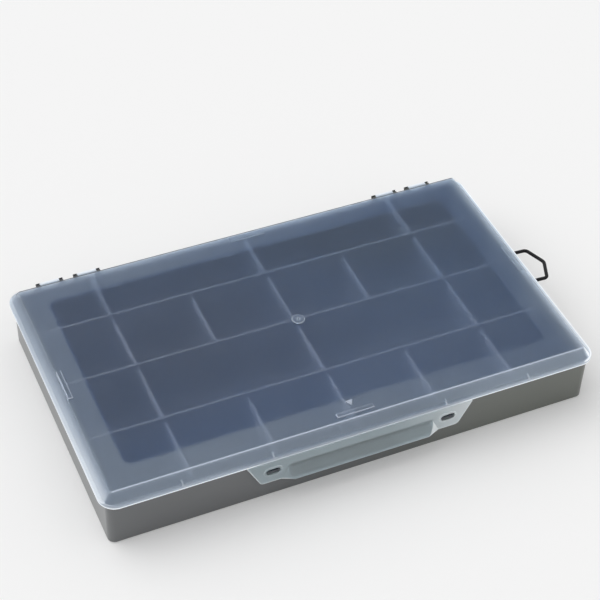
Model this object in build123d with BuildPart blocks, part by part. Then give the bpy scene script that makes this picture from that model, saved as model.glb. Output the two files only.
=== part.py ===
from build123d import *

import os
from math import atan2, cos, degrees, radians, sin

# A flat divided tackle box. A shallow tray has three fixed walls along its length and
# sixteen lift-out dividers across them. A clear domed lid turns on four short steel pins
# at the back, a latch flap with a finger grip hangs from the front of the lid, and a wire
# bail turns in two ears on the right end.
#
# Origin: centre of the tray's flat underside. +X runs right along the long side, +Y points
# to the hinges, +Z points up. All sizes are millimetres.

# Lid, outside sizes and walls
lid_length = 360.0
lid_width = 213.6
lid_corner_radius = 12.0
lid_wall = 1.8
lid_top_thickness = 2.0
lip_height = 2.6
lip_ledge = 2.4
lip_edge_chamfer = 0.5
dome_corner_radius = 6.5
dome_draw_in = 5.1
dome_rise = 6.7
crease_radius = 0.8

# Thinner clear window on the underside of the lid
window_length = 306.0
window_width = 162.4
window_corner_radius = 4.5
window_recess = 0.4

# Small raised forms on the lid
pad_length = 27.0
pad_width = 3.6
pad_height = 0.8
pad_chamfer = 0.3
front_pad_inset = 5.0
side_pad_inset = 2.3
arrow_width = 5.5
arrow_length = 4.8
arrow_height = 0.4
arrow_setback = 8.0
gusset_width = 1.2
gusset_rise = 2.0
gusset_pitch = 63.0
gusset_front_step = 0.4

# Tray
tray_height = 38.6
tray_flare = 0.4
tray_wall = 2.2
floor_thickness = 2.0
tray_corner_radius = 5.0
foot_chamfer = 0.8
lid_overlap = 1.4
tray_top_chamfer = 0.6
pad_recess_margin = 0.9
pad_recess_depth = 1.1

# Fixed walls along the tray, and the slots for the dividers
row_pitch = 52.6
middle_wall_y = 2.5
row_wall = 1.6
column_pitch = 58.8
column_count = 5
rib_width = 1.2
rib_reach = 1.6

# Lift-out dividers
divider_thickness = 1.6
divider_rise = 1.4
divider_corner_cut = 3.0
divider_top_chamfer = 0.4
sparse_skip_count = 2

# Hinge at the back
hinge_back_step = 1.5
hinge_rise = 0.9
pin_radius = 1.0
pin_press_gap = 0.02
pin_running_gap = 0.06
knuckle_radius = 2.0
ear_radius = 2.0
ear_thickness = 2.6
ear_foot_drop = 12.0
ear_mouth = 1.7
hinge_group_inset = 47.0
ear_pitch = 17.2
ear_group_gap = 10.6

# Latch flap
flap_thickness = 1.8
flap_top_half = 82.0
flap_bottom_half = 72.5
flap_height = 18.4
flap_corner_radius = 4.0
flap_face_step = 0.3
slot_length = 10.4
slot_height = 5.0
slot_x = 64.0
slot_drop = 8.1
slot_ring = 1.5
slot_ring_height = 0.5
grip_height = 12.0
grip_depth = 3.8
grip_top_half = 52.0
grip_foot_half = 58.0
grip_lip_half = 49.0

# Catch lugs that the flap's slots drop over
lug_width = 8.6
lug_height = 2.8
lug_slope = 1.4
lug_tip_gap = 0.3
lug_nose_radius = 0.5

# Wire bail on the right end
bail_wire_radius = 1.3
bail_wire_sides = 16
bail_leg_half = 16.0
bail_shoulder_reach = 13.8
bail_peak_reach = 20.4
bail_axis_step = 2.0
bail_droop = 3.0
bail_end_length = 6.0
bail_end_bend = 2.2
bail_shoulder_bend = 3.4
bail_peak_bend = 5.0
bail_ear_radius = 2.3
bail_ear_width = 4.2
bail_ear_foot_drop = 8.0
bail_running_gap = 0.08

# Named clearances
side_gap = 0.3
under_lid_gap = 0.3
swing_gap = 0.4
bead_gap = 0.2

# Levels and places that follow from the sizes above
rim_z = tray_height - lid_overlap
lip_top_z = rim_z + lip_height
lid_top_z = lip_top_z + dome_rise
lid_under_z = lid_top_z - lid_top_thickness
ledge_under_z = lip_top_z - lid_wall
slope_angle = degrees(atan2(dome_draw_in, dome_rise))
slope_run = dome_draw_in / dome_rise
slope_wall_run = lid_wall / cos(radians(slope_angle))


def lid_inside_inset(height_z):
    """How far inside the rim the lid's sloping inner face is at a height."""
    return lip_ledge + (height_z - lip_top_z) * slope_run + slope_wall_run


tray_top_inset = lid_inside_inset(tray_height - tray_top_chamfer) + side_gap
tray_top_length = lid_length - 2 * tray_top_inset
tray_top_width = lid_width - 2 * tray_top_inset
tray_length = tray_top_length - 2 * tray_flare
tray_width = tray_top_width - 2 * tray_flare
tray_draft = degrees(atan2(tray_flare, tray_height))
inner_length = tray_length - 2 * tray_wall
inner_width = tray_width - 2 * tray_wall

lid_front_y = -lid_width / 2
lid_back_y = lid_width / 2
hinge_y = lid_back_y + hinge_back_step
hinge_z = rim_z + hinge_rise
wall_top_z = lid_under_z - under_lid_gap

wall_step_z = tray_height - 2 * tray_top_chamfer
divider_top_z = tray_height + divider_rise
row_walls_y = [middle_wall_y + row_pitch * step for step in (1, 0, -1)]
row_faces = [inner_width / 2] + row_walls_y + [-inner_width / 2]
columns_x = [column_pitch * (index - (column_count - 1) / 2) for index in range(column_count)]
slot_gap = divider_thickness + 2 * side_gap

knuckle_length = ear_pitch - ear_thickness - 2 * side_gap
hinge_group_x = lid_length / 2 - hinge_group_inset
hinge_groups_x = [-hinge_group_x, hinge_group_x]
ear_offsets = [
    -ear_group_gap / 2 - ear_pitch,
    -ear_group_gap / 2,
    ear_group_gap / 2,
    ear_group_gap / 2 + ear_pitch,
]
knuckle_offsets = [-(ear_group_gap + ear_pitch) / 2, (ear_group_gap + ear_pitch) / 2]
ears_x = [group + offset for group in hinge_groups_x for offset in ear_offsets]
knuckles_x = [group + offset for group in hinge_groups_x for offset in knuckle_offsets]

flap_outer_y = lid_front_y - flap_face_step
flap_inner_y = flap_outer_y + flap_thickness
flap_axis_y = flap_outer_y + flap_thickness / 2
flap_axis_z = rim_z - bead_gap - flap_thickness / 2
flap_bottom_z = flap_axis_z - flap_height
grip_top_z = flap_bottom_z + grip_height
slot_z = flap_axis_z - slot_drop
catches_x = [-slot_x, slot_x]

bail_axis_x = tray_top_length / 2 + bail_axis_step
bail_axis_z = rim_z - side_gap - bail_ear_radius
bail_ear_outer_y = bail_leg_half - bail_end_bend - side_gap

pad_x = lid_length / 2 - lip_ledge - dome_draw_in - side_pad_inset
pad_y = lid_width / 2 - lip_ledge - dome_draw_in - front_pad_inset


def cross_plane(x):
    """A plane square to X, with its own axes along Y and Z."""
    return Plane(origin=(x, 0, 0), x_dir=(0, 1, 0), z_dir=(1, 0, 0))


def long_plane(y):
    """A plane square to Y, with its own axes along X and Z, facing the front."""
    return Plane(origin=(0, y, 0), x_dir=(1, 0, 0), z_dir=(0, -1, 0))


def save(part, name):
    """Label a finished piece and write it."""
    part.label = name
    export_step(part, f"parts/{name}.step")


os.makedirs("parts", exist_ok=True)

# Tray: a drafted shell with a bevelled foot
with BuildPart() as tray:
    with BuildSketch(Plane.XY):
        RectangleRounded(tray_length, tray_width, tray_corner_radius)
    extrude(amount=tray_height, taper=-tray_draft)
    chamfer(tray.faces().sort_by(Axis.Z)[0].edges(), length=foot_chamfer)
    chamfer(tray.faces().sort_by(Axis.Z)[-1].edges(), length=tray_top_chamfer)
    with BuildSketch(Plane.XY.offset(floor_thickness)):
        RectangleRounded(inner_length, inner_width, tray_corner_radius - tray_wall)
    extrude(amount=tray_height - floor_thickness, taper=-tray_draft, mode=Mode.SUBTRACT)

    # Fixed walls, which rise above the rim to just under the lid
    wall_end_low = inner_length / 2 + tray_wall / 2
    wall_end_mid = inner_length / 2
    wall_end_top = lid_length / 2 - lid_inside_inset(wall_top_z) - side_gap
    for wall_y in row_walls_y:
        with BuildSketch(long_plane(wall_y)):
            with BuildLine():
                Polyline(
                    (-wall_end_low, floor_thickness / 2),
                    (-wall_end_low, wall_step_z),
                    (-wall_end_mid, wall_step_z),
                    (-wall_end_top, wall_top_z),
                    (wall_end_top, wall_top_z),
                    (wall_end_mid, wall_step_z),
                    (wall_end_low, wall_step_z),
                    (wall_end_low, floor_thickness / 2),
                    close=True,
                )
            make_face()
        extrude(amount=row_wall / 2, both=True)

    # Pairs of upright ribs that hold a divider between them
    rib_root = row_wall / 2
    rib_depth = rib_reach + rib_root
    with BuildSketch(Plane.XY.offset(floor_thickness / 2)):
        for column_x in columns_x:
            for side in (-1, 1):
                rib_x = column_x + side * (slot_gap + rib_width) / 2
                for wall_y in row_walls_y:
                    with Locations((rib_x, wall_y)):
                        Rectangle(rib_width, row_wall + 2 * rib_reach)
                for wall_side in (-1, 1):
                    rib_y = wall_side * (inner_width / 2 + rib_root - rib_depth / 2)
                    with Locations((rib_x, rib_y)):
                        Rectangle(rib_width, rib_depth)
    extrude(amount=wall_step_z - floor_thickness / 2)

    # Hinge ears: each is a hook, open at the top, that the lid's pin snaps into
    ear_web_top = rim_z - 2 * side_gap
    ear_foot_y = tray_width / 2 - tray_wall / 2
    for ear_x in ears_x:
        with BuildSketch(cross_plane(ear_x - ear_thickness / 2)):
            with BuildLine():
                Polyline(
                    (ear_foot_y, ear_web_top),
                    (hinge_y - ear_radius / 2, ear_web_top),
                    (hinge_y, hinge_z - ear_radius / 2),
                    (hinge_y + ear_radius / 2, hinge_z - ear_radius * sin(radians(60))),
                    (ear_foot_y, hinge_z - ear_foot_drop),
                    close=True,
                )
            make_face()
            with Locations((hinge_y, hinge_z)):
                Circle(ear_radius)
                Circle(pin_radius + pin_running_gap, mode=Mode.SUBTRACT)
            with Locations((hinge_y, hinge_z + ear_radius)):
                Rectangle(ear_mouth, 2 * ear_radius, mode=Mode.SUBTRACT)
        extrude(amount=ear_thickness)

    # Catch lugs on the front: flat below, sloping on top
    lug_under_z = slot_z - lug_height / 2
    lug_foot_y = -(tray_width / 2 - tray_wall / 2)
    lug_tip_y = flap_outer_y + lug_tip_gap
    for catch_x in catches_x:
        with BuildSketch(cross_plane(catch_x)):
            with BuildLine():
                Polyline(
                    (lug_foot_y, lug_under_z),
                    (lug_tip_y, lug_under_z),
                    (lug_tip_y, lug_under_z + lug_height - lug_slope),
                    (lug_foot_y, lug_under_z + lug_height),
                    close=True,
                )
            make_face()
        extrude(amount=lug_width / 2, both=True)
    lug_noses = tray.edges().filter_by(Axis.Z).group_by(Axis.Y)[0]
    fillet(lug_noses, radius=lug_nose_radius)

    # Ears for the wire bail on the right end
    bail_foot_x = tray_length / 2 - tray_wall / 2
    bail_ear_top_z = bail_axis_z + bail_ear_radius
    for side in (-1, 1):
        ear_y = side * (bail_ear_outer_y - bail_ear_width / 2)
        with BuildSketch(long_plane(ear_y)):
            with BuildLine():
                Polyline(
                    (bail_foot_x, bail_ear_top_z),
                    (bail_axis_x, bail_ear_top_z),
                    (bail_axis_x + bail_ear_radius * cos(radians(45)),
                     bail_axis_z - bail_ear_radius * sin(radians(45))),
                    (bail_foot_x, bail_axis_z - bail_ear_foot_drop),
                    close=True,
                )
            make_face()
            with Locations((bail_axis_x, bail_axis_z)):
                Circle(bail_ear_radius)
        extrude(amount=bail_ear_width / 2, both=True)
        with BuildSketch(long_plane(ear_y)):
            with Locations((bail_axis_x, bail_axis_z)):
                Circle(bail_wire_radius + bail_running_gap)
        extrude(amount=bail_ear_width / 2, both=True, mode=Mode.SUBTRACT)

    # Shallow recesses underneath that take the pads of the box below in a stack
    recess_long = pad_length + 2 * pad_recess_margin
    recess_short = pad_width + 2 * pad_recess_margin
    with BuildSketch(Plane.XY):
        with Locations((0, pad_y), (0, -pad_y)):
            Rectangle(recess_long, recess_short)
        with Locations((pad_x, 0), (-pad_x, 0)):
            Rectangle(recess_short, recess_long)
    extrude(amount=pad_recess_depth, mode=Mode.SUBTRACT)

save(tray.part, "tray")

# Lift-out dividers: every place is filled in the second and fourth rows, and every other
# place in the first and third
row_of_dividers = [
    columns_x[::sparse_skip_count],
    columns_x,
    columns_x[::sparse_skip_count],
    columns_x,
]
for row, places in enumerate(row_of_dividers):
    back_face = row_faces[row] - (row_wall / 2 if row > 0 else 0)
    front_face = row_faces[row + 1] + (row_wall / 2 if row < len(row_of_dividers) - 1 else 0)
    half_length = (back_face - front_face) / 2 - side_gap
    middle_y = (back_face + front_face) / 2
    for place, divider_x in enumerate(places):
        with BuildPart() as divider:
            with BuildSketch(cross_plane(divider_x)):
                with BuildLine():
                    Polyline(
                        (middle_y - half_length + divider_corner_cut, floor_thickness),
                        (middle_y + half_length - divider_corner_cut, floor_thickness),
                        (middle_y + half_length, floor_thickness + divider_corner_cut),
                        (middle_y + half_length, divider_top_z),
                        (middle_y - half_length, divider_top_z),
                        (middle_y - half_length, floor_thickness + divider_corner_cut),
                        close=True,
                    )
                make_face()
            extrude(amount=divider_thickness / 2, both=True)
            top_edges = divider.faces().sort_by(Axis.Z)[-1].edges().filter_by(Axis.Y)
            chamfer(top_edges, length=divider_top_chamfer)
        save(divider.part, f"divider_row{row + 1}_{place + 1}")

# Lid: a flat lip all round, and a low dome with sloping sides
with BuildPart() as lid:
    with BuildSketch(Plane.XY.offset(rim_z)):
        RectangleRounded(lid_length, lid_width, lid_corner_radius)
    extrude(amount=lip_height)
    chamfer(lid.faces().sort_by(Axis.Z)[-1].edges(), length=lip_edge_chamfer)
    with BuildSketch(Plane.XY.offset(lip_top_z)):
        RectangleRounded(
            lid_length - 2 * lip_ledge,
            lid_width - 2 * lip_ledge,
            dome_corner_radius,
        )
    extrude(amount=dome_rise, taper=slope_angle)
    fillet(lid.faces().sort_by(Axis.Z)[-1].edges(), radius=crease_radius)

    # Hollow inside: the space under the ledge, then the space under the dome
    with BuildSketch(Plane.XY.offset(rim_z)):
        RectangleRounded(
            lid_length - 2 * lid_wall,
            lid_width - 2 * lid_wall,
            lid_corner_radius - lid_wall,
        )
    extrude(amount=ledge_under_z - rim_z, mode=Mode.SUBTRACT)
    dome_inset = lid_inside_inset(ledge_under_z)
    with BuildSketch(Plane.XY.offset(ledge_under_z)):
        RectangleRounded(
            lid_length - 2 * dome_inset,
            lid_width - 2 * dome_inset,
            dome_corner_radius + lip_ledge - dome_inset,
        )
    extrude(amount=lid_under_z - ledge_under_z, taper=slope_angle, mode=Mode.SUBTRACT)
    with BuildSketch(Plane.XY.offset(lid_under_z)):
        RectangleRounded(window_length, window_width, window_corner_radius)
    extrude(amount=window_recess, mode=Mode.SUBTRACT)

    # Stacking pads in the middle of each side
    with BuildSketch(Plane.XY.offset(lid_top_z)):
        with Locations((0, pad_y), (0, -pad_y)):
            Rectangle(pad_length, pad_width)
        with Locations((pad_x, 0), (-pad_x, 0)):
            Rectangle(pad_width, pad_length)
    extrude(amount=pad_height)
    pad_tops = lid.faces().filter_by(Axis.Z).group_by(Axis.Z)[-1]
    chamfer(pad_tops.edges(), length=pad_chamfer)

    # Opening arrow behind the front pad
    arrow_tip_y = -pad_y + arrow_setback - arrow_length / 2
    with BuildSketch(Plane.XY.offset(lid_top_z)):
        with BuildLine():
            Polyline(
                (0, arrow_tip_y),
                (arrow_width / 2, arrow_tip_y + arrow_length),
                (-arrow_width / 2, arrow_tip_y + arrow_length),
                close=True,
            )
        make_face()
    extrude(amount=arrow_height)

    # Small gussets between the front lip and the dome
    for step in (-2, -1, 1, 2):
        with BuildSketch(cross_plane(step * gusset_pitch)):
            with BuildLine():
                Polyline(
                    (lid_front_y + gusset_front_step, lip_top_z - lip_edge_chamfer),
                    (lid_front_y + gusset_front_step, lip_top_z),
                    (lid_front_y + lip_ledge + gusset_rise * slope_run, lip_top_z + gusset_rise),
                    (lid_front_y + lip_ledge + gusset_rise * slope_run, lip_top_z - lip_edge_chamfer),
                    close=True,
                )
            make_face()
        extrude(amount=gusset_width / 2, both=True)

    # Knuckles, whose arms rise from the lip's ledge, cut back round each ear and bored
    knuckle_foot_y = lid_back_y - lip_ledge
    for knuckle_x in knuckles_x:
        with BuildSketch(cross_plane(knuckle_x)):
            with BuildLine():
                Polyline(
                    (knuckle_foot_y, lip_top_z),
                    (hinge_y, hinge_z + knuckle_radius),
                    (hinge_y, hinge_z),
                    (knuckle_foot_y, lip_top_z - lid_wall / 2),
                    close=True,
                )
            make_face()
            with Locations((hinge_y, hinge_z)):
                Circle(knuckle_radius)
        extrude(amount=knuckle_length / 2, both=True)
        with BuildSketch(cross_plane(knuckle_x)):
            with Locations((hinge_y, hinge_z)):
                Circle(pin_radius + pin_press_gap)
        extrude(amount=knuckle_length / 2, both=True, mode=Mode.SUBTRACT)
    for ear_x in ears_x:
        with BuildSketch(cross_plane(ear_x)):
            with Locations((hinge_y, hinge_z)):
                Circle(ear_radius + swing_gap)
        extrude(amount=ear_thickness / 2 + side_gap, both=True, mode=Mode.SUBTRACT)

save(lid.part, "lid")

# Hinge pins: one through each knuckle, from ear to ear
pin_names = ["left_outer", "left_inner", "right_inner", "right_outer"]
pin_length = ear_pitch + ear_thickness
for pin_name, pin_x in zip(pin_names, knuckles_x):
    with BuildPart() as pin:
        with BuildSketch(cross_plane(pin_x)):
            with Locations((hinge_y, hinge_z)):
                Circle(pin_radius)
        extrude(amount=pin_length / 2, both=True)
    save(pin.part, f"hinge_pin_{pin_name}")


def grip_end_plane(side):
    """The slanting plane that ends the grip on one side, facing outwards."""
    top = Vector(side * grip_top_half, flap_outer_y, grip_top_z)
    foot = Vector(side * grip_foot_half, flap_outer_y, flap_bottom_z)
    lip = Vector(side * grip_lip_half, flap_outer_y - grip_depth, flap_bottom_z)
    outward = (lip - top).cross(foot - top) * side
    return Plane(origin=top, x_dir=foot - top, z_dir=outward)


def grip_block(inward):
    """The wedge under the grip's hollow face, or the space behind it, with slanting ends."""
    face_top = (flap_outer_y + inward, grip_top_z)
    face_lip = (flap_outer_y + inward - grip_depth, flap_bottom_z)
    back_y = flap_inner_y + inward
    with BuildPart() as block:
        with BuildSketch(cross_plane(-grip_foot_half)):
            with BuildLine():
                TangentArc(face_top, face_lip, tangent=(0, -1))
                Polyline(face_lip, (back_y, flap_bottom_z), (back_y, grip_top_z), face_top)
            make_face()
        extrude(amount=2 * grip_foot_half)
        for side in (-1, 1):
            split(bisect_by=grip_end_plane(side).offset(-inward), keep=Keep.BOTTOM)
    return block.part


# Latch flap: a plate with slanted sides, a round bead along its top edge for the thin
# moulded hinge, two ringed slots for the catches, and a grip that flares out to a lip
with BuildPart() as latch_flap:
    with BuildSketch(long_plane(flap_inner_y)) as flap_face:
        with BuildLine():
            Polyline(
                (-flap_top_half, flap_axis_z),
                (-flap_bottom_half, flap_bottom_z),
                (flap_bottom_half, flap_bottom_z),
                (flap_top_half, flap_axis_z),
                close=True,
            )
        make_face()
        fillet(flap_face.vertices().group_by(Axis.Y)[0], radius=flap_corner_radius)
    extrude(amount=flap_thickness)
    with BuildSketch(cross_plane(-flap_top_half)):
        with Locations((flap_axis_y, flap_axis_z)):
            Circle(flap_thickness / 2)
    extrude(amount=2 * flap_top_half)

    # The grip's face curves outwards to a lip for the fingers, and is hollow behind
    add(grip_block(0))
    add(grip_block(flap_thickness), mode=Mode.SUBTRACT)

    # Slots, each inside a raised ring
    with BuildSketch(long_plane(flap_outer_y)):
        with Locations(*[(catch_x, slot_z) for catch_x in catches_x]):
            SlotOverall(slot_length + 2 * slot_ring, slot_height + 2 * slot_ring)
    extrude(amount=slot_ring_height)
    with BuildSketch(long_plane(flap_inner_y)):
        with Locations(*[(catch_x, slot_z) for catch_x in catches_x]):
            SlotOverall(slot_length, slot_height)
    extrude(amount=flap_thickness + slot_ring_height, mode=Mode.SUBTRACT)

save(latch_flap.part, "latch_flap")

# Wire bail: one bent wire whose ends turn inwards into the ears. The round wire is drawn
# with a many-sided section, which keeps its bends light
bail_plane = Plane(
    origin=(bail_axis_x, 0, bail_axis_z),
    x_dir=(cos(radians(bail_droop)), 0, -sin(radians(bail_droop))),
    z_dir=(sin(radians(bail_droop)), 0, cos(radians(bail_droop))),
)
bail_end_y = bail_leg_half - bail_end_length
with BuildPart() as wire_bail:
    with BuildLine(bail_plane) as bail_path:
        FilletPolyline(
            (0, bail_end_y),
            (0, bail_leg_half),
            (bail_shoulder_reach, bail_leg_half),
            (bail_peak_reach, 0),
            (bail_shoulder_reach, -bail_leg_half),
            (0, -bail_leg_half),
            (0, -bail_end_y),
            radius=[
                bail_end_bend,
                bail_shoulder_bend,
                bail_peak_bend,
                bail_shoulder_bend,
                bail_end_bend,
            ],
        )
    wire_start = Plane(origin=bail_path.line @ 0, z_dir=bail_path.line % 0)
    with BuildSketch(wire_start):
        RegularPolygon(bail_wire_radius, bail_wire_sides)
    sweep(path=bail_path.line)

save(wire_bail.part, "wire_bail")
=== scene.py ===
# %% [markdown]
# # A flat tackle box with a clear lid
#
# The box is a shallow dark tray with fixed walls and lift-out dividers, under a hazy lid of
# clear plastic. The moulded pieces already have their true shapes, so most of the work here
# is finish: plastics that let light through by the right amount, and a soft studio around.
# First the finished frame is loaded.

import math

import bmesh
import bpy
from mathutils import Matrix, Quaternion, Vector


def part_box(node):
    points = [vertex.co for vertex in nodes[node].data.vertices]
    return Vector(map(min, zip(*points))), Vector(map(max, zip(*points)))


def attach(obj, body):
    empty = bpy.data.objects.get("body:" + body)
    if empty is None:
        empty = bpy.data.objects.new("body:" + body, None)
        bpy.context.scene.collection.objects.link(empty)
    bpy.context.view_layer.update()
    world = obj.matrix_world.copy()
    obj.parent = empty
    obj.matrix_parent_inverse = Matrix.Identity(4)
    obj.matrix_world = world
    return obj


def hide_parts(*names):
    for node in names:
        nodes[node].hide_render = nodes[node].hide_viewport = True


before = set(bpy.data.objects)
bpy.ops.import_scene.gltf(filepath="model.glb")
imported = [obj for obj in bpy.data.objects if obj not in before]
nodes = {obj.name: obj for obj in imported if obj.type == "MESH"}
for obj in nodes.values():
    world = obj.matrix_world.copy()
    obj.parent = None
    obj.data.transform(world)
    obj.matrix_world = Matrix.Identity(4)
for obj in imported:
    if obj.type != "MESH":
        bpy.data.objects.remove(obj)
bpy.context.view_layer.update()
mm = 0.001

# %% [markdown]
# ## The camera
#
# The photograph looks down on the front left corner through a long lens. A camera can be
# turned by three angles, but where it stands and where it aims are easier to picture and to
# change. Tracking the aim keeps it level, and a small turn about its own axis adds the tilt
# that the photograph has.

# %% Place the camera
camera_place = Vector((-362.0, -772.5, 870.2)) * mm
camera_aim = Vector((8.97, 17.39, 46.5)) * mm
camera_roll = math.radians(2.23)
camera_lens = 101.92

camera_data = bpy.data.cameras.new("camera")
camera_data.lens = camera_lens
camera_data.sensor_width = 36.0
camera_data.clip_start = 0.01
camera_data.clip_end = 20.0
camera = bpy.data.objects.new("camera", camera_data)
bpy.context.scene.collection.objects.link(camera)
level = (camera_aim - camera_place).to_track_quat("-Z", "Y")
camera.rotation_mode = "QUATERNION"
camera.rotation_quaternion = level @ Quaternion((0, 0, 1), camera_roll)
camera.location = camera_place
bpy.context.scene.camera = camera
print("camera stands", round((camera_aim - camera_place).length, 3), "m from its aim")

# %% [markdown]
# ## Node trees as sums
#
# A finish could be built by adding each node and each link by hand, but it is easier to read
# as arithmetic than as a web of nodes. `Field` wraps one socket, and its operators add the
# Math nodes. `Finish` holds the nodes of a material or of the world, and its one method makes
# every other kind of node: settings first, then the values or links of its sockets.

# %% Wrap a socket as a number that varies
class Field:
    """A socket of a finish, used as a number that varies over the surface."""

    def __init__(self, finish, socket):
        self.finish = finish
        self.socket = socket

    def math(self, operation, *values):
        return self.finish.node(
            "ShaderNodeMath", {"operation": operation}, dict(enumerate(values)),
        )

    def __add__(self, other):
        return self.math("ADD", self, other)

    def __radd__(self, other):
        return self.math("ADD", other, self)

    def __sub__(self, other):
        return self.math("SUBTRACT", self, other)

    def __rsub__(self, other):
        return self.math("SUBTRACT", other, self)

    def __mul__(self, other):
        return self.math("MULTIPLY", self, other)

    def __rmul__(self, other):
        return self.math("MULTIPLY", other, self)

    def __truediv__(self, other):
        return self.math("DIVIDE", self, other)

    def __rtruediv__(self, other):
        return self.math("DIVIDE", other, self)

    def __abs__(self):
        return self.math("ABSOLUTE", self)

    def smaller(self, other):
        return self.math("MINIMUM", self, other)

    def larger(self, other):
        return self.math("MAXIMUM", self, other)

    def root(self):
        return self.math("SQRT", self)

    def below(self, level, soft):
        """1 where this is under the level, fading to 0 over a soft width."""
        return self.finish.node(
            "ShaderNodeMapRange",
            {"interpolation_type": "SMOOTHSTEP"},
            {"Value": self, "From Min": level - soft / 2, "From Max": level + soft / 2,
             "To Min": 1.0, "To Max": 0.0},
        )

    def above(self, level, soft):
        """1 where this is over the level, fading to 0 over a soft width."""
        return 1 - self.below(level, soft)

    def near(self, level, half_width, soft):
        """1 within half a width of the level, fading to 0 over a soft width."""
        return abs(self - level).below(half_width, soft)


# %% Wrap a material or the world, and its nodes
class Finish:
    """The nodes of a material or of the world, which all come from one method."""

    def __init__(self, owner):
        self.owner = owner
        self.owner.use_nodes = True
        self.tree = self.owner.node_tree
        self.tree.nodes.clear()

    def node(self, kind, settings=None, inputs=None, output=0):
        """A node of a type, as the Field of one of its outputs."""
        made = self.tree.nodes.new(kind)
        for name, value in (settings or {}).items():
            setattr(made, name, value)
        for name, value in (inputs or {}).items():
            if isinstance(value, Field):
                self.tree.links.new(value.socket, made.inputs[name])
            else:
                made.inputs[name].default_value = value
        return Field(self, made.outputs[output]) if made.outputs else None

    def split(self, vector):
        """The x, y and z of a vector."""
        first = self.node("ShaderNodeSeparateXYZ", None, {"Vector": vector})
        return [Field(self, socket) for socket in first.socket.node.outputs]

    def place(self):
        """The point on the object, in metres."""
        return self.node("ShaderNodeTexCoord", output="Object")

    def facing(self):
        """The x, y and z of the surface's own direction."""
        return self.split(self.node("ShaderNodeTexCoord", output="Normal"))

    def ray(self, kind):
        """1 on rays of one kind, such as those that leave the camera."""
        return self.node("ShaderNodeLightPath", output=kind)

    def stretched(self, point, along_x):
        """A point whose x is scaled down, for patterns that are drawn out along x."""
        scale = (along_x, 1.0, 1.0)
        return self.node("ShaderNodeMapping", None, {"Vector": point, "Scale": scale})

    def noise(self, point, size, detail, roughness=0.5):
        """Smooth random values about 0.5, with features of a size in metres."""
        return self.node(
            "ShaderNodeTexNoise", None,
            {"Vector": point, "Scale": 1 / size, "Detail": detail, "Roughness": roughness},
        )

    def blend(self, share, first, second):
        """One colour to another by a share."""
        return self.node(
            "ShaderNodeMix", {"data_type": "RGBA"}, {0: share, 6: first, 7: second}, output=2,
        )

    def bump(self, height, depth):
        """A normal from a height of 0 to 1 that stands for a depth in metres."""
        return self.node("ShaderNodeBump", None, {"Height": height, "Distance": depth})

    def plastic(self, **inputs):
        """A Principled shader, its sockets' names written in lower case."""
        names = {name: name.replace("_", " ").title().replace("Ior", "IOR") for name in inputs}
        return self.node(
            "ShaderNodeBsdfPrincipled", None, {names[name]: inputs[name] for name in inputs},
        )

    def mixed(self, share, first, second):
        """One shader to another by a share."""
        return self.node("ShaderNodeMixShader", None, {0: share, 1: first, 2: second})

    def finished(self, shader, output="ShaderNodeOutputMaterial"):
        """Ends the nodes with their output, and gives the material or the world."""
        self.node(output, None, {"Surface": shader})
        return self.owner


# %% Start a material, and put one on
def new_finish(name):
    """A material with no nodes yet."""
    return Finish(bpy.data.materials.new(name))


def wear(material, *names):
    """Gives CAD nodes this material in place of their own."""
    for name in names:
        nodes[name].data.materials.clear()
        nodes[name].data.materials.append(material)
    print(material.name, "on", len(names), "pieces,", len(material.node_tree.nodes), "nodes")


# %% [markdown]
# ## How far in from the edge
#
# The long lines on the lid follow one rounded rectangle, a little further in each time. They
# could be painted on a texture, but a measured distance stays sharp however close the camera
# comes. One number is enough to find them: how far a point lies inside the lid's outline. It
# is the usual distance to a rounded box, written with the operators above. The knuckles stand
# out behind the lid, so its half width is taken from the front.

# %% Measure in from a rounded outline
def inset(x, y, half_x, half_y, corner):
    """How far inside a rounded rectangle a point lies, in metres."""
    over_x = abs(x) - (half_x - corner)
    over_y = abs(y) - (half_y - corner)
    reach_x = over_x.larger(0)
    reach_y = over_y.larger(0)
    round_part = (reach_x * reach_x + reach_y * reach_y).root()
    flat_part = over_x.larger(over_y).smaller(0)
    return corner - round_part - flat_part


lid_low, lid_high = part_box("lid")
lid_half_x = lid_high[0]
lid_half_y = -lid_low[1]
lid_corner = 12 * mm
print("lid outline, half sizes in mm:", round(lid_half_x / mm, 1), round(lid_half_y / mm, 1))

# %% [markdown]
# ## Places on the lid
#
# The lid is one moulding with many zones: a flat ledge round a dome, sloping sides, a window
# in the middle that is thinner, and small raised forms. Each zone could wear a material of
# its own, but those would meet in hard lines, and on the real lid many borders are soft. So
# one finish tells the zones apart by where a point lies and which way the surface faces
# there. These are worked out once and shared by all the masks. A mask is a number that is 1
# in its zone and fades to 0 round it.

# %% Work out where a point of the lid lies
ledge_width = 2.4 * mm
dome_corner = 6.5 * mm
draw_in = 5.1 * mm
crease_inset = ledge_width + draw_in
top_z = 46.5 * mm
ledge_z = 39.8 * mm
rim_z = 37.2 * mm


class LidPlace:
    """Where a point of the lid lies, and which way its surface faces."""

    def __init__(self, made):
        self.point = made.place()
        self.x, self.y, self.z = made.split(self.point)
        self.normal_x, self.normal_y, self.normal_z = made.facing()
        self.edge = inset(self.x, self.y, lid_half_x, lid_half_y, lid_corner)
        self.dome = inset(
            self.x, self.y, lid_half_x - ledge_width, lid_half_y - ledge_width, dome_corner,
        )
        self.front = self.y + lid_half_y
        self.side = lid_half_x - abs(self.x)
        self.upper = self.z.above(ledge_z + 4 * mm, 2 * mm)


print("the dome's crease lies", round(crease_inset / mm, 1), "mm in from the lid's edge")
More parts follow.
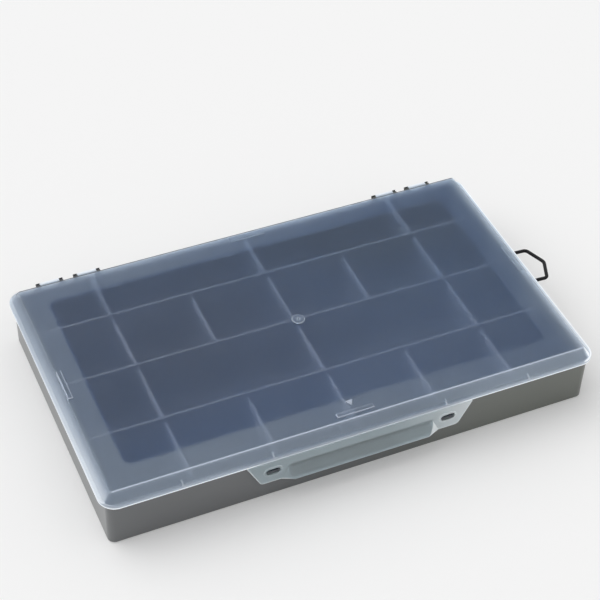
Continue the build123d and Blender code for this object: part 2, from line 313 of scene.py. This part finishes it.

# %% [markdown]
# ## Window, ledge and slopes
#
# The middle of the lid is moulded smooth and is clearer than the border round it. The ledge
# and the slopes send more light back. The crease over the front slope is sharp, but at the
# ends the top rolls softly into the slope, a little wider on the right and paler in front.
# The solid has one small radius all round, so the wide roll is painted shading from its mask,
# which fades over nine millimetres where the ledge's takes less than one.

# %% Mark the window, the ledge and the slopes
window_shift = -1.6 * mm
window_half_x = 153.9 * mm
window_half_y = 81.2 * mm
window_corner = 6 * mm
window_soft = 5 * mm
roll_width = crease_inset - 1.5 * mm
roll_soft = 9 * mm
right_roll_more = 2.4 * mm


def broad_zones(at):
    """Masks of the lid's large zones."""
    faces_front = (0 - at.normal_y).above(0.35, 0.15)
    window = inset(at.x - window_shift, at.y, window_half_x, window_half_y, window_corner)
    # The wide roll is painted shading, paler in front.
    roll = (at.side - right_roll_more * at.x.above(0.0, mm)).below(roll_width, roll_soft)
    stronger_in_front = 0.40 + 0.68 * at.y.below(0.0, 200 * mm)
    return {
        "window": window.above(0.0, window_soft),
        "ledge": at.dome.below(0.0, 0.6 * mm),
        "slope": at.dome.below(draw_in, 0.8 * mm) * faces_front,
        "roll": roll * (1 - faces_front) * stronger_in_front,
    }


print("window, in mm:", round(2 * window_half_x / mm, 1), "by", round(2 * window_half_y / mm, 1))

# %% [markdown]
# ## Edges and creases
#
# The foot of the rim, the edge of the ledge at the right end and the dome's front right corner
# are the brightest lines. They are painted highlights, which stand for light that runs along
# inside clear plastic and leaves at its edges, and for the shine on the corner. A renderer
# finds such light only after very many bounces, so each line is a narrow mask instead. Behind
# the flap the rim's foot is dimmer. The front crease is one fine pale line, a painted
# highlight, and the back crease a fine dark one, a painted shade, which is taken for the shade
# of the step behind it.

# %% Mark the edges and creases
crease_end = 172 * mm
right_end_x = 170.2 * mm
flap_reach = 76 * mm


def line_zones(at):
    """Masks of the lid's edges and creases, where highlights and a shade are painted."""
    behind_flap = abs(at.x).below(flap_reach, 12 * mm) * at.y.below(0.0, mm)
    # A painted highlight along the dome's front right corner.
    painted_corner_highlight = (at.normal_x + at.normal_y).near(0.05, 0.28, 0.2)
    painted_corner_highlight = painted_corner_highlight * at.dome.near(draw_in / 2, draw_in / 2, 2 * mm)
    painted_corner_highlight = painted_corner_highlight * at.normal_x.above(0.3, 0.2) * at.front.below(14 * mm, 4 * mm)
    # A painted highlight along the front crease.
    crease = at.front.near(crease_inset, 0.45 * mm, 0.5 * mm)
    crease = crease * abs(at.x).below(crease_end, 4 * mm) * at.upper
    # A painted shade along the back crease.
    back_line = at.y.near(lid_half_y - crease_inset - 0.4 * mm, 0.5 * mm, 0.4 * mm)
    # Painted highlights along the lip's right edge and the rim's foot.
    lip_edge = at.edge.below(0.9 * mm, 0.4 * mm) * at.z.near(ledge_z, 0.5 * mm, 0.4 * mm)
    rim_foot = at.edge.below(0.8 * mm, 0.4 * mm) * at.z.below(rim_z + 0.9 * mm, 0.3 * mm)
    return {
        "painted_corner_highlight": painted_corner_highlight,
        "crease": crease,
        "back_line": back_line * at.upper * at.normal_z.above(0.1, 0.2),
        "lip_edge": lip_edge * at.x.above(right_end_x, 4 * mm),
        "rim": at.edge.below(0.5 * mm, 0.6 * mm) * at.z.below(ledge_z - 0.2 * mm, 0.6 * mm),
        "rim_foot": rim_foot * (1 - 0.65 * behind_flap),
    }


print("the rim's foot lies at", round(rim_z / mm, 1), "mm, the ledge at", round(ledge_z / mm, 1))

# %% [markdown]
# ## Small raised forms
#
# Four pads and an arrow stand on the lid, gussets stiffen its front lip, and knuckles hold
# the hinge pins. Each is thicker than the lid around it and so a little milkier. They are in
# the mesh already, so most of their masks need no drawn outline: a height or a distance picks
# them out. The pads show most at their outlines, which carry painted highlights that fade
# toward the back right.

# %% Mark the raised forms
pad_half_length = 13.5 * mm
pad_half_width = 1.8 * mm
pad_corner = 0.6 * mm
front_pad_y = 94.3 * mm
side_pad_x = 170.2 * mm
pad_rise = 0.6 * mm
arrow_rise = 0.4 * mm
gusset_pitch = 63 * mm
gusset_half = 0.8 * mm
gusset_reach = 4.6 * mm
knuckle_y = 107.0 * mm


def form_zones(at):
    """Masks of the pads, the arrow, the gussets and the knuckles."""
    pad_y = abs(at.y) - front_pad_y
    pad_x = abs(at.x) - side_pad_x
    long_pad = inset(at.x, pad_y, pad_half_length, pad_half_width, pad_corner)
    end_pad = inset(pad_x, at.y, pad_half_width, pad_half_length, pad_corner)
    outline = long_pad.larger(end_pad).near(0.4 * mm, 0.3 * mm, 0.3 * mm)
    steep = at.normal_z.below(0.9, 0.1)
    to_back_right = (at.y / lid_half_y).larger(at.x / lid_half_x).above(0.7, 0.2)
    gusset = abs(abs(at.x) - 1.5 * gusset_pitch) - gusset_pitch / 2
    gusset = gusset.near(0.0, gusset_half, 0.3 * mm) * at.front.below(gusset_reach, 0.6 * mm)
    # The outlines carry painted highlights, fading toward the back right.
    return {
        "raised_side": at.z.above(top_z + 0.08 * mm, 0.06 * mm) * steep * (1 - to_back_right),
        "raised_top": at.z.near(top_z + arrow_rise, 0.06 * mm, 0.04 * mm),
        "raised_line": at.z.above(top_z + pad_rise, 0.1 * mm) * outline * (1 - to_back_right),
        "gusset": gusset * at.z.near(ledge_z + 1 * mm, 1.6 * mm, 0.4 * mm),
        "knuckle": at.y.above(knuckle_y, 0.4 * mm),
    }


print("gussets stand", round(gusset_pitch / mm, 1), "mm apart")

# %% [markdown]
# ## The lid's plastic
#
# Natural polypropylene lets light through and scatters some of it, so what lies close under
# it shows sharply and what lies deeper goes soft. A volume inside the wall would scatter
# light in the same way, but it is slow to render and can't be baked into textures. So two
# shaders are mixed: a clear one, rough enough to blur what is seen through it, and a milky
# one that stands for the scattered light. How much of the milk a point gets is a sum over the
# zones, with slow drifts across the lid, as a moulding has where it cooled unevenly.

# %% Add up the lid's milk
border_milk = 0.165
window_less = 0.095
cloud_milk = 0.03
scuff_milk = 0.012
slope_milk = 0.085
right_slope_more = 0.078
most_milk = 0.94
drift_milk = {"front_left": 0.024, "back_right": -0.026, "right_end": 0.045}
outline_milk = {"raised_side": 0.22, "raised_top": 0.30, "raised_line": 0.22}
zone_milk = {
    "ledge": 0.12, "roll": 0.42, "crease": 0.42, "rim": 0.10, "rim_foot": 0.65,
    "painted_corner_highlight": 0.6, "back_line": 0.6, "lip_edge": 0.8, "gusset": 0.14, "knuckle": 0.6,
}


def weighted(zones, shares):
    """The sum of some zones, each with its share."""
    parts = [share * zones[name] for name, share in shares.items()]
    return sum(parts[1:], parts[0])


def milk_drift(at, zones):
    """How the milky share drifts across the lid and along its front slope."""
    areas = {
        "front_left": at.y.below(-55 * mm, 50 * mm) * at.x.below(60 * mm, 120 * mm),
        "back_right": (at.x + 2 * at.y).above(140 * mm, 160 * mm),
        "right_end": at.x.above(165 * mm, 12 * mm),
    }
    front_right = (at.x - at.y).above(0.0, 260 * mm)
    across = (0.05 * zones["window"] - 0.025) * front_right
    along_slope = slope_milk + right_slope_more * at.x.above(75 * mm, 60 * mm)
    return across + weighted(areas, drift_milk) + along_slope * zones["slope"]


print("zones with milk of their own:", len(zone_milk) + len(outline_milk))

# %% [markdown]
# ## Colours of the milk
#
# Thin milk looks blue and thick milk looks white, for the same reason that the sky is blue. A
# single colour would be simpler, but it would leave the window too pale or the edges too
# blue, so the colour follows the share. The painted highlights on the edges are mixed toward a
# mirror, a painted reflection, and send out a faint painted glow, which stands for the light
# that the plastic pipes to them. The pale crease and outlines are painted highlights, and the
# dark back line is painted shade.

# %% Mix the lid's plastic
thin_milk = (0.18, 0.33, 0.68, 1.0)
pale_milk = (0.42, 0.53, 0.69, 1.0)
thick_milk = (0.84, 0.89, 0.95, 1.0)
glint_white = (0.93, 0.96, 1.0, 1.0)
painted_crease_highlight = (0.74, 0.82, 0.98, 1.0)
crease_shade = (0.04, 0.04, 0.05, 1.0)
painted_edge_glow = (0.86, 0.94, 1.0, 1.0)
no_light = (0.0, 0.0, 0.0, 1.0)
clear_front = (0.79, 0.81, 0.825, 1.0)
clear_back = (0.715, 0.775, 0.825, 1.0)
plastic_ior = 1.49
thin_ior = 1.2
# The strength of the painted glow on the edges.
edge_light = 0.25


def milk_colour(made, haze, zones, outlines, mirror):
    """The colour of the milky share, and of the painted highlights and shade on it."""
    milk = made.blend(haze.above(0.15, 0.12), thin_milk, pale_milk)
    milk = made.blend(haze.above(0.5, 0.8), milk, thick_milk)
    milk = made.blend(mirror, milk, glint_white)
    # Painted highlights on the front crease and the raised outlines.
    pale_lines = zones["crease"].larger(4 * outlines).smaller(1)
    milk = made.blend(pale_lines, milk, painted_crease_highlight)
    # Painted shade along the back crease.
    return made.blend(zones["back_line"], milk, crease_shade)


def lid_finish():
    made = new_finish("lid_plastic")
    at = LidPlace(made)
    zones = {**broad_zones(at), **line_zones(at), **form_zones(at)}
    cloud = made.noise(at.point, 70 * mm, 1.0) - 0.5
    scuffs = made.noise(made.stretched(at.point, 0.25), 2.2 * mm, 3.0).above(0.66, 0.1)
    outlines = weighted(zones, outline_milk)
    haze = border_milk - window_less * zones["window"] + milk_drift(at, zones)
    haze = haze + cloud_milk * cloud + scuff_milk * scuffs
    haze = (haze + weighted(zones, zone_milk) + outlines).smaller(most_milk)
    # Painted highlights: partly a mirror, a painted reflection, with a faint painted glow.
    glint = zones["rim_foot"].larger(zones["painted_corner_highlight"]).larger(zones["lip_edge"])
    mirror = 0.8 * glint
    ripple = made.bump(made.noise(at.point, 7 * mm, 1.0), 0.02 * mm)
    back_right = (at.x + 2 * at.y).above(70 * mm, 260 * mm)
    clear = made.plastic(
        base_color=made.blend(back_right, clear_front, clear_back),
        roughness=0.50 + 0.05 * scuffs, transmission_weight=1.0, ior=thin_ior, normal=ripple,
    )
    milky = made.plastic(
        base_color=milk_colour(made, haze, zones, outlines, mirror), metallic=mirror,
        roughness=0.30 + 0.1 * scuffs, ior=plastic_ior, specular_ior_level=0.4, normal=ripple,
        emission_color=made.blend(glint, no_light, painted_edge_glow), emission_strength=edge_light,
    )
    return made.finished(made.mixed(haze, clear, milky))


wear(lid_finish(), "lid")

# %% [markdown]
# ## From a bmesh to a piece
#
# Two pieces are modelled here. Each starts as a bmesh, the mesh that Blender's operators
# work on, and ends as an object that rides on one of the frame's bodies, so that it moves
# with it. Faces of four corners are shaded smooth, and the flat ends stay flat.

# %% Hand a bmesh over as a piece
def piece_from(shape, name, body, finish):
    """Makes a bmesh into a piece that rides on a body."""
    for face in shape.faces:
        face.smooth = len(face.verts) == 4
    mesh = bpy.data.meshes.new(name)
    shape.to_mesh(mesh)
    shape.free()
    mesh.materials.append(finish)
    piece = bpy.data.objects.new(name, mesh)
    bpy.context.scene.collection.objects.link(piece)
    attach(piece, body)
    low = [min(corner.co[axis] for corner in mesh.vertices) / mm for axis in range(3)]
    high = [max(corner.co[axis] for corner in mesh.vertices) / mm for axis in range(3)]
    print(name, len(mesh.polygons), "faces, from", [round(v, 2) for v in low],
          "to", [round(v, 2) for v in high])
    return piece


# %% [markdown]
# ## The gate mark
#
# Plastic enters a lid's mould at its middle. On the moulded lid that spot is a low round disc
# with a soft edge and a small dimple, where the sprue was cut off. A bump in the lid's finish
# could fake it, but a real disc also shows from the side and in an exported mesh. It starts
# as one circle: pushed up, its top edge bevelled, and the top inset twice for the dimple. Its
# foot reaches a little way into the lid, so that no gap shows.

# %% Raise the gate mark
gate_radius = 4.6 * mm
gate_height = 0.45 * mm
gate_sink = 0.3 * mm
gate_edge = 0.35 * mm
dimple_radius = 1.2 * mm
dimple_rim = 0.4 * mm
dimple_depth = 0.3 * mm


def gate_mark():
    """A bmesh of the low disc, with its foot sunk into the lid."""
    shape = bmesh.new()
    foot = bmesh.ops.create_circle(shape, cap_ends=True, segments=64, radius=gate_radius)["verts"]
    bmesh.ops.translate(shape, verts=foot, vec=(0, 0, top_z - gate_sink))
    raised = bmesh.ops.extrude_face_region(shape, geom=list(shape.faces))["geom"]
    corners = [item for item in raised if isinstance(item, bmesh.types.BMVert)]
    bmesh.ops.translate(shape, verts=corners, vec=(0, 0, gate_sink + gate_height))
    bmesh.ops.recalc_face_normals(shape, faces=shape.faces)
    top = max(shape.faces, key=lambda face: face.calc_center_median().z)
    bmesh.ops.bevel(
        shape, geom=list(top.edges), offset=gate_edge, segments=4, profile=0.5,
        affect="EDGES", material=-1,
    )
    top = max(shape.faces, key=lambda face: (face.normal.z, face.calc_center_median().z))
    flat_ring = gate_radius - gate_edge - dimple_radius
    bmesh.ops.inset_region(shape, faces=[top], thickness=flat_ring)
    bmesh.ops.inset_region(shape, faces=[top], thickness=dimple_rim, depth=-dimple_depth)
    return shape


# %% [markdown]
# ## The gate's plastic
#
# The disc is the lid's plastic, a little thicker and so milkier. It is palest at its outline
# and round the dimple, where the cut left the surface rough. The lid's finish could be worn
# here too, but it has no mask for these rings, so the disc has a smaller one that measures
# from its own middle.

# %% Mix the gate's plastic
gate_milk = 0.16
gate_rim_milk = 0.34
dimple_milk = 0.28
gate_clear = (0.80, 0.81, 0.82, 1.0)
gate_thin_milk = (0.40, 0.52, 0.72, 1.0)
gate_thick_milk = (0.70, 0.78, 0.88, 1.0)


def gate_finish():
    made = new_finish("gate_plastic")
    point = made.place()
    x, y, _ = made.split(point)
    from_middle = (x * x + y * y).root()
    rim = from_middle.near(gate_radius, 0.5 * mm, 0.5 * mm)
    dimple = from_middle.near(dimple_radius, 0.3 * mm, 0.4 * mm)
    cut = made.noise(point, 0.5 * mm, 2.0) - 0.5
    haze = gate_milk + gate_rim_milk * rim + dimple_milk * dimple + 0.06 * cut
    milk = made.blend(haze.above(0.3, 0.3), gate_thin_milk, gate_thick_milk)
    clear = made.plastic(
        base_color=gate_clear, roughness=0.45, transmission_weight=1.0, ior=thin_ior,
    )
    milky = made.plastic(
        base_color=milk, roughness=0.28, ior=plastic_ior, specular_ior_level=0.4,
        normal=made.bump(cut, 0.02 * mm),
    )
    return made.finished(made.mixed(haze, clear, milky))


piece_from(gate_mark(), "gate_mark", "lid", gate_finish())

# %% [markdown]
# ## The latch flap
#
# The flap is the same plastic, but paler and greener than the lid, and palest toward its
# right end. The cut edges of the plate are its brightest lines, painted highlights that are
# milkier and partly a mirror, and a fine pale ring runs round each slot. Such lines are about
# a millimetre wide, and a painted texture would blur them. So the edges are found by the way
# they face and by their distance from the leaning sides and the foot, and the rings by their
# distance from the slots. The grip in the middle bulges away from the tray, and through it the
# shadow behind shows; a band along its top is clearer still, a painted shade. The facet at the
# grip's right end shines in the photograph, so it has a painted highlight: it is milkier and
# partly a mirror.

# %% Mark the flap's places
grip_half_x = 52 * mm
grip_top = 29.7 * mm
flap_foot = 17.7 * mm
flap_foot_half = 72.5 * mm
flap_lean = 9.5 / 18.4
slot_x = 64 * mm
slot_z = 28 * mm
slot_half_x = 5.2 * mm
slot_half_z = 2.5 * mm
slot_ring = 1.5 * mm


def flap_zones(x, y, z, normal_x, normal_y):
    """Masks of the flap's painted edge highlights, its slots, and its grip's painted shade and
    highlight.
    """
    from_side = flap_foot_half + flap_lean * (z - flap_foot) - abs(x)
    in_slot = inset(abs(x) - slot_x, z - slot_z, slot_half_x, slot_half_z, slot_half_z)
    # A painted shade along the top of the grip.
    brow_z = z.near(grip_top - 1.5 * mm, 1.2 * mm, 2.4 * mm)
    near_grip = abs(x).below(grip_half_x + 8 * mm, 2 * mm)
    return {
        # Painted highlights on the cut edges and the outline.
        "cut_edge": abs(normal_y).below(0.45, 0.2),
        "outline": from_side.smaller(z - flap_foot).below(0.7 * mm, 0.5 * mm),
        "ring": in_slot.near(-0.95 * slot_ring, 0.2 * mm, 0.3 * mm),
        "grip": abs(x).below(grip_half_x, 4 * mm) * z.below(grip_top, 2 * mm),
        "grip_brow_shade": abs(x).below(grip_half_x, 5 * mm) * brow_z,
        # A painted highlight on the grip's right end.
        "grip_end_highlight": normal_x.above(0.3, 0.3) * near_grip,
        "right": x.above(60 * mm, 120 * mm),
    }


print("slots, in mm:", round(2 * slot_half_x / mm, 1), "by", round(2 * slot_half_z / mm, 1))

# %% Mix the flap's plastic
flap_milk = 0.45
flap_zone_milk = {
    "cut_edge": 0.3, "outline": 0.3, "ring": 0.25, "grip": -0.27, "grip_brow_shade": -0.08,
    "grip_end_highlight": 0.45, "right": 0.34,
}
least_flap_milk = 0.1
most_flap_milk = 0.95
flap_clear = (0.78, 0.87, 0.90, 1.0)
flap_thin_milk = (0.50, 0.60, 0.65, 1.0)
flap_thick_milk = (0.88, 0.93, 0.95, 1.0)


def flap_finish():
    made = new_finish("flap_plastic")
    point = made.place()
    x, y, z = made.split(point)
    normal_x, normal_y, _ = made.facing()
    zones = flap_zones(x, y, z, normal_x, normal_y)
    cloud = made.noise(point, 25 * mm, 1.0) - 0.5
    haze = flap_milk + 0.05 * cloud + weighted(zones, flap_zone_milk)
    haze = haze.larger(least_flap_milk).smaller(most_flap_milk)
    milk = made.blend(haze.above(0.6, 0.4), flap_thin_milk, flap_thick_milk)
    clear = made.plastic(
        base_color=flap_clear, roughness=0.38, transmission_weight=1.0, ior=plastic_ior,
        specular_ior_level=0.4,
    )
    milky = made.plastic(
        # Painted reflections on the grip's right end and the cut edges.
        base_color=milk, metallic=0.7 * zones["grip_end_highlight"].larger(zones["cut_edge"]),
        roughness=0.30, ior=plastic_ior, specular_ior_level=0.45,
    )
    return made.finished(made.mixed(haze, clear, milky))


wear(flap_finish(), "latch_flap")

# %% [markdown]
# ## The dividers
#
# The dividers are thin plates of the same clear plastic. Their faces are nearly clear, and
# the light that they catch leaves near their tops, so from above each one is a pale stroke.
# The lid blurs it, because it lies a few millimetres below. Each plate could wear a clear
# finish with a pale cap, but the light fades downward without a border, so one share of milk
# grows with height, as painted light. One finish does for all sixteen, because their tops lie
# at one height.

# %% Mix the dividers' plastic
divider_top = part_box("divider_row1_1")[1][2]
face_milk = 0.14
top_milk = 0.34
divider_clear = (0.86, 0.90, 0.94, 1.0)
divider_milk = (0.60, 0.65, 0.78, 1.0)


def divider_finish():
    made = new_finish("divider_plastic")
    point = made.place()
    _, _, z = made.split(point)
    # Painted light: milkier toward the tops.
    near_top = z.above(divider_top - 5 * mm, 9 * mm)
    cloud = made.noise(point, 18 * mm, 1.0) - 0.5
    haze = face_milk + top_milk * near_top + 0.06 * cloud
    clear = made.plastic(
        base_color=divider_clear, roughness=0.3, transmission_weight=1.0, ior=plastic_ior,
        specular_ior_level=0.2,
    )
    milky = made.plastic(base_color=divider_milk, roughness=0.4, ior=plastic_ior)
    return made.finished(made.mixed(haze, clear, milky))


dividers = [name for name in nodes if name.startswith("divider_row")]
wear(divider_finish(), *dividers)

# %% [markdown]
# ## The tray
#
# The tray is dark grey polypropylene, slightly olive at its right end, with the fine grain
# that a spark-eroded mould leaves. Grain in the mesh would take millions of faces, and a bump
# of about a hundredth of a millimetre does as well, because the grain only softens the
# reflections and can't be seen by itself. The tops of the fixed walls and of the ribs that
# hold the dividers are lighter, a painted highlight where their thin tops catch the light, and
# the walls show through the lid as fine lines. The two catch lugs show nearly black in the
# flap's slots, so a painted shade darkens them.

# %% Mix the tray's plastic
row_wall_top = 44.2 * mm
rib_top = 37.4 * mm
lug_half_x = 5 * mm
lug_half_z = 2.4 * mm
lug_front_y = -102.5 * mm
tray_dark = (0.118, 0.125, 0.129, 1.0)
tray_light = (0.134, 0.137, 0.143, 1.0)
tray_olive = (0.128, 0.138, 0.117, 1.0)
wall_top_highlight = (0.145, 0.155, 0.18, 1.0)
rib_top_highlight = (0.34, 0.35, 0.37, 1.0)
lug_slot_shade = (0.035, 0.045, 0.06, 1.0)


def tray_colour(made, x, y, z, normal_z, cloud):
    """The tray's colour, with painted highlights on the tops and painted shade on the lugs."""
    colour = made.blend(cloud, tray_dark, tray_light)
    colour = made.blend(0.8 * x.above(50 * mm, 160 * mm), colour, tray_olive)
    # A painted highlight on the tops of the walls.
    colour = made.blend(z.above(row_wall_top - 0.3 * mm, 0.3 * mm), colour, wall_top_highlight)
    # A painted highlight on the tops of the ribs.
    on_rib = z.near(rib_top, 0.2 * mm, 0.1 * mm) * normal_z.above(0.8, 0.2)
    colour = made.blend(on_rib, colour, rib_top_highlight)
    # A painted shade on the lugs in the flap's slots.
    lug = inset(abs(x) - slot_x, z - slot_z, lug_half_x, lug_half_z, lug_half_z)
    lug = lug.above(-0.5 * mm, 0.5 * mm) * y.below(lug_front_y, 0.5 * mm)
    return made.blend(lug, colour, lug_slot_shade)


def tray_finish():
    made = new_finish("tray_plastic")
    point = made.place()
    x, y, z = made.split(point)
    _, _, normal_z = made.facing()
    grain = made.noise(point, 0.35 * mm, 2.0, 0.6)
    cloud = made.noise(point, 60 * mm, 1.0)
    shader = made.plastic(
        base_color=tray_colour(made, x, y, z, normal_z, cloud), roughness=0.27 + 0.08 * cloud,
        ior=plastic_ior, specular_ior_level=0.7, sheen_weight=0.12, sheen_roughness=0.4,
        normal=made.bump(grain, 0.010 * mm),
    )
    return made.finished(shader)


wear(tray_finish(), "tray")

# %% [markdown]
# ## Hinge pins
#
# The pins show as dark spots at the back edge, and are made as short ends of blackened steel
# rod. A plain black would look like paint, but such a black is a thin oxide, which lets the
# metal through a little and rubs off along the rod. So the finish is partly a metal, with
# noise that is stretched along the pins.

# %% Blacken the pins
pin_black = (0.012, 0.012, 0.013, 1.0)
pin_rubbed = (0.06, 0.06, 0.06, 1.0)


def pin_finish():
    made = new_finish("pin_steel")
    point = made.place()
    rubbed = made.noise(made.stretched(point, 0.1), 0.6 * mm, 3.0).above(0.66, 0.1)
    shader = made.plastic(
        base_color=made.blend(rubbed, pin_black, pin_rubbed), metallic=0.4, roughness=0.38,
        specular_ior_level=0.25,
    )
    return made.finished(shader)


pins = [name for name in nodes if name.startswith("hinge_pin")]
wear(pin_finish(), *pins)

# %% [markdown]
# ## The wire bail
#
# The loop on the right end is one bent wire with a black coating. A curve with a round bevel
# would make it quickly, but its bends would only be close to arcs. A ring of edges that is
# pushed along straight runs and spun round the bends is exact, and two helpers are enough:
# one for a run and one for a bend. The solid has sixteen sides; here it is round enough to
# shine like a wire.

# %% Push and spin a ring of edges
wire_radius = 1.29 * mm
wire_sides = 28
bend_step = math.radians(7.5)


def run(shape, ring, forward, length):
    """Pushes the ring straight on, and gives the ring at the new end."""
    pushed = bmesh.ops.extrude_edge_only(shape, edges=ring)["geom"]
    corners = [item for item in pushed if isinstance(item, bmesh.types.BMVert)]
    bmesh.ops.translate(shape, verts=corners, vec=forward * length)
    return [item for item in pushed if isinstance(item, bmesh.types.BMEdge)
            and all(corner in corners for corner in item.verts)]


def bend(shape, ring, place, forward, angle, radius):
    """Spins the ring to the right round a bend, and gives the ring, place and direction."""
    right = Vector((forward.y, -forward.x, 0))
    centre = place + right * radius
    steps = max(2, round(angle / bend_step))
    spun = bmesh.ops.spin(
        shape, geom=ring, cent=centre, axis=(0, 0, 1), dvec=(0, 0, 0),
        angle=-angle, steps=steps, use_merge=False,
    )
    turn = Matrix.Rotation(-angle, 3, "Z")
    last = [item for item in spun["geom_last"] if isinstance(item, bmesh.types.BMEdge)]
    return last, centre + turn @ (place - centre), turn @ forward


# %% [markdown]
# ## The wire's route
#
# The route is the one of the solid: in at one ear, out along one side, round the blunt point,
# and back to the other ear. Every point of it could be listed, but corners in a flat drawing
# and a radius for each bend say the same, and are what someone who bends wire works from. The
# ends are closed with flat caps, as a cut wire has.

# %% Bend the wire
bail_corners = [Vector((x, y, 0)) * mm for x, y in (
    (0, 10), (0, 16), (13.8, 16), (20.4, 0), (13.8, -16), (0, -16), (0, -10),
)]
bail_bends = [radius * mm for radius in (2.2, 3.4, 5.0, 3.4, 2.2)]


def bent_wire(corners, bends):
    """A bmesh of the wire through its corners, with a radius at each inner corner."""
    shape = bmesh.new()
    start = bmesh.ops.create_circle(shape, segments=wire_sides, radius=wire_radius)["verts"]
    forward = (corners[1] - corners[0]).normalized()
    upright = forward.to_track_quat("Z", "Y").to_matrix().to_4x4()
    stand = Matrix.Translation(corners[0]) @ upright
    bmesh.ops.transform(shape, matrix=stand, verts=start)
    ring = list(shape.edges)
    place = corners[0]
    for corner, after, radius in zip(corners[1:], corners[2:], bends):
        angle = forward.angle(after - corner)
        straight = (corner - place).length - radius * math.tan(angle / 2)
        ring = run(shape, ring, forward, straight)
        place = place + forward * straight
        ring, place, forward = bend(shape, ring, place, forward, angle, radius)
    run(shape, ring, forward, (corners[-1] - place).length)
    ends = [edge for edge in shape.edges if edge.is_boundary]
    bmesh.ops.holes_fill(shape, edges=ends, sides=0)
    bmesh.ops.remove_doubles(shape, verts=shape.verts, dist=0.001 * mm)
    bmesh.ops.recalc_face_normals(shape, faces=shape.faces)
    return shape


wire = bent_wire(bail_corners, bail_bends)
print("wire:", len(wire.faces), "faces,", len(bail_bends), "bends")

# %% [markdown]
# ## Hanging the wire
#
# The flat wire is tipped down a little and moved to its ears, where it takes the place of
# the solid. The mesh is moved and not the object, which stays at the origin as the other
# pieces do. The coating has the slight orange peel of a dipped finish, and is glossier where
# it has been rubbed.

# %% Coat and hang the wire
bail_axis = Vector((178.408, 0, 34.6)) * mm
bail_droop = math.radians(3)
wire_black = (0.006, 0.006, 0.008, 1.0)
wire_rubbed = (0.018, 0.018, 0.021, 1.0)


def wire_finish():
    made = new_finish("black_wire")
    point = made.place()
    orange_peel = made.noise(point, 0.9 * mm, 2.0)
    rubbed = made.noise(point, 5 * mm, 3.0).above(0.62, 0.2)
    shader = made.plastic(
        base_color=made.blend(rubbed, wire_black, wire_rubbed), roughness=0.46 - 0.12 * rubbed,
        ior=plastic_ior, specular_ior_level=0.2, normal=made.bump(orange_peel, 0.02 * mm),
    )
    return made.finished(shader)


hang = Matrix.Translation(bail_axis) @ Matrix.Rotation(bail_droop, 4, "Y")
bmesh.ops.transform(wire, matrix=hang, verts=wire.verts)
wire_piece = piece_from(wire, "wire_bail_round", "bail", wire_finish())
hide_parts("wire_bail")

# %% [markdown]
# ## The studio
#
# The box stands on white paper under a wide soft light from the back left, so its shadow
# falls to the front right. The sky gives the rest, at a level where a colour renders about as
# it is written. Paper that only glowed would be an even white, but no shadow would fall on
# it. So it is white by its own colour, with a faint glow that only the camera sees, which
# brings it to the white of the sky behind it.

# %% Mix the paper
white = (1.0, 1.0, 1.0, 1.0)
paper_white = (0.90, 0.90, 0.90, 1.0)
white_level = 0.905
paper_glow = 0.15


def floor_finish():
    made = new_finish("floor_paper")
    fibre = made.noise(made.place(), 1.5 * mm, 3.0)
    paper = made.plastic(
        base_color=paper_white, roughness=0.95, specular_ior_level=0.1,
        normal=made.bump(fibre, 0.01 * mm),
    )
    glow = made.node("ShaderNodeEmission", None, {"Color": white, "Strength": white_level})
    return made.finished(made.mixed(paper_glow * made.ray("Is Camera Ray"), paper, glow))


# %% Lay the paper
floor_half = 3.0

floor_mesh = bpy.data.meshes.new("floor")
sheet = bmesh.new()
bmesh.ops.create_grid(sheet, x_segments=1, y_segments=1, size=floor_half)
sheet.to_mesh(floor_mesh)
sheet.free()
floor_mesh.materials.append(floor_finish())
floor = bpy.data.objects.new("floor", floor_mesh)
bpy.context.scene.collection.objects.link(floor)
print("paper, in m:", 2 * floor_half, "square")

# %% [markdown]
# ## The sky
#
# A plain background lights the box evenly. With one strength for everything, either the
# backdrop would be grey or the box too bright. So it looks white to the camera, and in and
# through shiny and clear pieces, but lights the box at a lower level, and pale plastic keeps
# its tone.

# %% Light the sky
sky_level = 0.66

world = bpy.data.worlds.new("studio")
bpy.context.scene.world = world
sky = Finish(world)
seen = sky.ray("Is Camera Ray") + sky.ray("Is Glossy Ray") + sky.ray("Is Transmission Ray")
strength = sky_level + (white_level - sky_level) * seen.smaller(1)
light = sky.node("ShaderNodeBackground", None, {"Color": white, "Strength": strength})
sky.finished(light, "ShaderNodeOutputWorld")
print("sky:", len(world.node_tree.nodes), "nodes")

# %% [markdown]
# ## The wide light
#
# A lamp near the box would light one end more than the other. A sun as wide as a softbox
# lights every spot alike, and its width makes the shadow's edge soft. Its strength and the
# sky's together give the paper its white. The view is set to Standard, which shows each
# colour as it is.

# %% Hang the wide light
key_level = 1.45
key_width = math.radians(70)
key_from = Vector((-0.62, 0.55, 1.0))

key_data = bpy.data.lights.new("wide_light", "SUN")
key_data.energy = key_level
key_data.angle = key_width
key = bpy.data.objects.new("wide_light", key_data)
bpy.context.scene.collection.objects.link(key)
key.location = key_from
key.rotation_mode = "QUATERNION"
key.rotation_quaternion = (-key_from).to_track_quat("-Z", "Y")
key_height = math.degrees(math.atan2(key_from.z, key_from.xy.length))
print("wide light stands", round(key_height), "degrees above the paper")

bpy.context.scene.view_settings.view_transform = "Standard"
